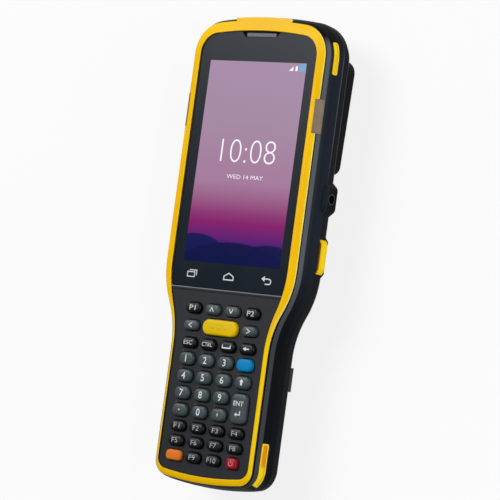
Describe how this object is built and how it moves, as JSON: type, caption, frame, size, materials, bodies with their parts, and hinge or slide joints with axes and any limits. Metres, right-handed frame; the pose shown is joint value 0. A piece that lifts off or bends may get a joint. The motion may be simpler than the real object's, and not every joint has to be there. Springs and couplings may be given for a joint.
{
  "type": "data collector",
  "caption": "Hand-held data collector: waisted rugged case with touch display, keypad handle, side scan triggers and clip-in battery.",
  "frame": {"origin": "centre of the outline, on the plane of the case's back", "axes": "+Z out of the display, +Y towards the top end, +X to the display's right"},
  "size_m": [0.0841, 0.218, 0.033],
  "materials": {
    "housing_black": "fine moulded texture, satin",
    "ring_yellow": "smooth moulded, satin",
    "cover_glass": "gloss, black printed border",
    "display": "smooth",
    "fascia_grey": "fine moulded texture",
    "circuit_board": "solder mask",
    "engine_metal": "cast",
    "scan_window": "dark red tint",
    "trigger_yellow": "satin",
    "lamp_window": "smoky translucent",
    "inlay_amber": "satin",
    "jack_rubber": "matt",
    "battery_black": "fine moulded texture",
    "latch_black": "satin",
    "camera_black": "gloss",
    "speaker_black": "matt",
    "screw_steel": "bright",
    "contact_gold": "plated",
    "key_yellow": "satin",
    "key_blue": "satin",
    "key_orange": "satin",
    "key_red": "satin",
    "key_grey": "satin",
    "key_dark": "satin"
  },
  "bodies": {
    "case": {"front_housing": "housing_black", "rear_housing": "housing_black", "bezel_ring": "ring_yellow", "touch_glass": "cover_glass", "display_module": "display", "keypad_fascia": "fascia_grey", "keypad_board": "circuit_board", "main_board": "circuit_board", "scan_engine": "engine_metal", "scan_window": "scan_window", "indicator_windows": "lamp_window", "corner_inlays": "inlay_amber", "headset_jack": "jack_rubber", "camera_module": "camera_black", "speakers": "speaker_black", "housing_screws": "screw_steel", "dock_contacts": "contact_gold"},
    "battery": {"battery_pack": "battery_black"},
    "right_latch": {"battery_latch_right": "latch_black"},
    "left_latch": {"battery_latch_left": "latch_black"},
    "right_trigger": {"trigger_right": "trigger_yellow"},
    "left_trigger": {"trigger_left": "trigger_yellow"},
    "key_scan_cap": {"key_scan": "key_yellow"},
    "key_power_cap": {"key_power": "key_red"},
    "key_blue_cap": {"key_blue": "key_blue"},
    "key_orange_cap": {"key_orange": "key_orange"},
    "key_enter_cap": {"key_enter": "key_grey"},
    "key_5_cap": {"key_5": "key_grey"},
    "key_0_cap": {"key_0": "key_grey"},
    "key_1_cap": {"key_1": "key_grey"},
    "key_2_cap": {"key_2": "key_grey"},
    "key_3_cap": {"key_3": "key_grey"},
    "key_4_cap": {"key_4": "key_grey"},
    "key_6_cap": {"key_6": "key_grey"},
    "key_7_cap": {"key_7": "key_grey"},
    "key_8_cap": {"key_8": "key_grey"},
    "key_9_cap": {"key_9": "key_grey"},
    "key_backspace_cap": {"key_backspace": "key_dark"},
    "key_comma_cap": {"key_comma": "key_grey"},
    "key_ctrl_cap": {"key_ctrl": "key_dark"},
    "key_dot_cap": {"key_dot": "key_grey"},
    "key_down_cap": {"key_down": "key_grey"},
    "key_esc_cap": {"key_esc": "key_dark"},
    "key_f1_cap": {"key_f1": "key_dark"},
    "key_f10_cap": {"key_f10": "key_dark"},
    "key_f2_cap": {"key_f2": "key_dark"},
    "key_f3_cap": {"key_f3": "key_dark"},
    "key_f4_cap": {"key_f4": "key_dark"},
    "key_f5_cap": {"key_f5": "key_dark"},
    "key_f6_cap": {"key_f6": "key_dark"},
    "key_f7_cap": {"key_f7": "key_dark"},
    "key_f8_cap": {"key_f8": "key_dark"},
    "key_f9_cap": {"key_f9": "key_dark"},
    "key_left_cap": {"key_left": "key_grey"},
    "key_p1_cap": {"key_p1": "key_dark"},
    "key_p2_cap": {"key_p2": "key_dark"},
    "key_right_cap": {"key_right": "key_grey"},
    "key_shift_cap": {"key_shift": "key_grey"},
    "key_space_cap": {"key_space": "key_dark"},
    "key_up_cap": {"key_up": "key_grey"}
  },
  "joints": [
    {"name": "battery_lift", "type": "slide", "parent": "case", "child": "battery", "axis": [0, 0, -1], "range_m": [0, 0.016]},
    {"name": "right_latch_press", "type": "slide", "parent": "battery", "child": "right_latch", "axis": [-1, 0, 0], "range_m": [0, 0.001], "stiffness_N_per_m": 800},
    {"name": "left_latch_press", "type": "slide", "parent": "battery", "child": "left_latch", "axis": [1, 0, 0], "range_m": [0, 0.001], "stiffness_N_per_m": 800},
    {"name": "right_trigger_press", "type": "slide", "parent": "case", "child": "right_trigger", "axis": [-1, 0, 0], "range_m": [0, 0.001], "stiffness_N_per_m": 1500},
    {"name": "left_trigger_press", "type": "slide", "parent": "case", "child": "left_trigger", "axis": [1, 0, 0], "range_m": [0, 0.001], "stiffness_N_per_m": 1500},
    {"name": "key_scan_press", "type": "slide", "parent": "case", "child": "key_scan_cap", "axis": [0, 0, -1], "range_m": [0, 0.0006], "stiffness_N_per_m": 1200},
    {"name": "key_power_press", "type": "slide", "parent": "case", "child": "key_power_cap", "axis": [0, 0, -1], "range_m": [0, 0.0006], "stiffness_N_per_m": 1200},
    {"name": "key_blue_press", "type": "slide", "parent": "case", "child": "key_blue_cap", "axis": [0, 0, -1], "range_m": [0, 0.0006], "stiffness_N_per_m": 1200},
    {"name": "key_orange_press", "type": "slide", "parent": "case", "child": "key_orange_cap", "axis": [0, 0, -1], "range_m": [0, 0.0006], "stiffness_N_per_m": 1200},
    {"name": "key_enter_press", "type": "slide", "parent": "case", "child": "key_enter_cap", "axis": [0, 0, -1], "range_m": [0, 0.0006], "stiffness_N_per_m": 1200},
    {"name": "key_5_press", "type": "slide", "parent": "case", "child": "key_5_cap", "axis": [0, 0, -1], "range_m": [0, 0.0006], "stiffness_N_per_m": 1200},
    {"name": "key_0_press", "type": "slide", "parent": "case", "child": "key_0_cap", "axis": [0, 0, -1], "range_m": [0, 0.0006], "stiffness_N_per_m": 1200},
    {"name": "key_1_press", "type": "slide", "parent": "case", "child": "key_1_cap", "axis": [0, 0, -1], "range_m": [0, 0.0006], "stiffness_N_per_m": 1200},
    {"name": "key_2_press", "type": "slide", "parent": "case", "child": "key_2_cap", "axis": [0, 0, -1], "range_m": [0, 0.0006], "stiffness_N_per_m": 1200},
    {"name": "key_3_press", "type": "slide", "parent": "case", "child": "key_3_cap", "axis": [0, 0, -1], "range_m": [0, 0.0006], "stiffness_N_per_m": 1200},
    {"name": "key_4_press", "type": "slide", "parent": "case", "child": "key_4_cap", "axis": [0, 0, -1], "range_m": [0, 0.0006], "stiffness_N_per_m": 1200},
    {"name": "key_6_press", "type": "slide", "parent": "case", "child": "key_6_cap", "axis": [0, 0, -1], "range_m": [0, 0.0006], "stiffness_N_per_m": 1200},
    {"name": "key_7_press", "type": "slide", "parent": "case", "child": "key_7_cap", "axis": [0, 0, -1], "range_m": [0, 0.0006], "stiffness_N_per_m": 1200},
    {"name": "key_8_press", "type": "slide", "parent": "case", "child": "key_8_cap", "axis": [0, 0, -1], "range_m": [0, 0.0006], "stiffness_N_per_m": 1200},
    {"name": "key_9_press", "type": "slide", "parent": "case", "child": "key_9_cap", "axis": [0, 0, -1], "range_m": [0, 0.0006], "stiffness_N_per_m": 1200},
    {"name": "key_backspace_press", "type": "slide", "parent": "case", "child": "key_backspace_cap", "axis": [0, 0, -1], "range_m": [0, 0.0006], "stiffness_N_per_m": 1200},
    {"name": "key_comma_press", "type": "slide", "parent": "case", "child": "key_comma_cap", "axis": [0, 0, -1], "range_m": [0, 0.0006], "stiffness_N_per_m": 1200},
    {"name": "key_ctrl_press", "type": "slide", "parent": "case", "child": "key_ctrl_cap", "axis": [0, 0, -1], "range_m": [0, 0.0006], "stiffness_N_per_m": 1200},
    {"name": "key_dot_press", "type": "slide", "parent": "case", "child": "key_dot_cap", "axis": [0, 0, -1], "range_m": [0, 0.0006], "stiffness_N_per_m": 1200},
    {"name": "key_down_press", "type": "slide", "parent": "case", "child": "key_down_cap", "axis": [0, 0, -1], "range_m": [0, 0.0006], "stiffness_N_per_m": 1200},
    {"name": "key_esc_press", "type": "slide", "parent": "case", "child": "key_esc_cap", "axis": [0, 0, -1], "range_m": [0, 0.0006], "stiffness_N_per_m": 1200},
    {"name": "key_f1_press", "type": "slide", "parent": "case", "child": "key_f1_cap", "axis": [0, 0, -1], "range_m": [0, 0.0006], "stiffness_N_per_m": 1200},
    {"name": "key_f10_press", "type": "slide", "parent": "case", "child": "key_f10_cap", "axis": [0, 0, -1], "range_m": [0, 0.0006], "stiffness_N_per_m": 1200},
    {"name": "key_f2_press", "type": "slide", "parent": "case", "child": "key_f2_cap", "axis": [0, 0, -1], "range_m": [0, 0.0006], "stiffness_N_per_m": 1200},
    {"name": "key_f3_press", "type": "slide", "parent": "case", "child": "key_f3_cap", "axis": [0, 0, -1], "range_m": [0, 0.0006], "stiffness_N_per_m": 1200},
    {"name": "key_f4_press", "type": "slide", "parent": "case", "child": "key_f4_cap", "axis": [0, 0, -1], "range_m": [0, 0.0006], "stiffness_N_per_m": 1200},
    {"name": "key_f5_press", "type": "slide", "parent": "case", "child": "key_f5_cap", "axis": [0, 0, -1], "range_m": [0, 0.0006], "stiffness_N_per_m": 1200},
    {"name": "key_f6_press", "type": "slide", "parent": "case", "child": "key_f6_cap", "axis": [0, 0, -1], "range_m": [0, 0.0006], "stiffness_N_per_m": 1200},
    {"name": "key_f7_press", "type": "slide", "parent": "case", "child": "key_f7_cap", "axis": [0, 0, -1], "range_m": [0, 0.0006], "stiffness_N_per_m": 1200},
    {"name": "key_f8_press", "type": "slide", "parent": "case", "child": "key_f8_cap", "axis": [0, 0, -1], "range_m": [0, 0.0006], "stiffness_N_per_m": 1200},
    {"name": "key_f9_press", "type": "slide", "parent": "case", "child": "key_f9_cap", "axis": [0, 0, -1], "range_m": [0, 0.0006], "stiffness_N_per_m": 1200},
    {"name": "key_left_press", "type": "slide", "parent": "case", "child": "key_left_cap", "axis": [0, 0, -1], "range_m": [0, 0.0006], "stiffness_N_per_m": 1200},
    {"name": "key_p1_press", "type": "slide", "parent": "case", "child": "key_p1_cap", "axis": [0, 0, -1], "range_m": [0, 0.0006], "stiffness_N_per_m": 1200},
    {"name": "key_p2_press", "type": "slide", "parent": "case", "child": "key_p2_cap", "axis": [0, 0, -1], "range_m": [0, 0.0006], "stiffness_N_per_m": 1200},
    {"name": "key_right_press", "type": "slide", "parent": "case", "child": "key_right_cap", "axis": [0, 0, -1], "range_m": [0, 0.0006], "stiffness_N_per_m": 1200},
    {"name": "key_shift_press", "type": "slide", "parent": "case", "child": "key_shift_cap", "axis": [0, 0, -1], "range_m": [0, 0.0006], "stiffness_N_per_m": 1200},
    {"name": "key_space_press", "type": "slide", "parent": "case", "child": "key_space_cap", "axis": [0, 0, -1], "range_m": [0, 0.0006], "stiffness_N_per_m": 1200},
    {"name": "key_up_press", "type": "slide", "parent": "case", "child": "key_up_cap", "axis": [0, 0, -1], "range_m": [0, 0.0006], "stiffness_N_per_m": 1200}
  ]
}
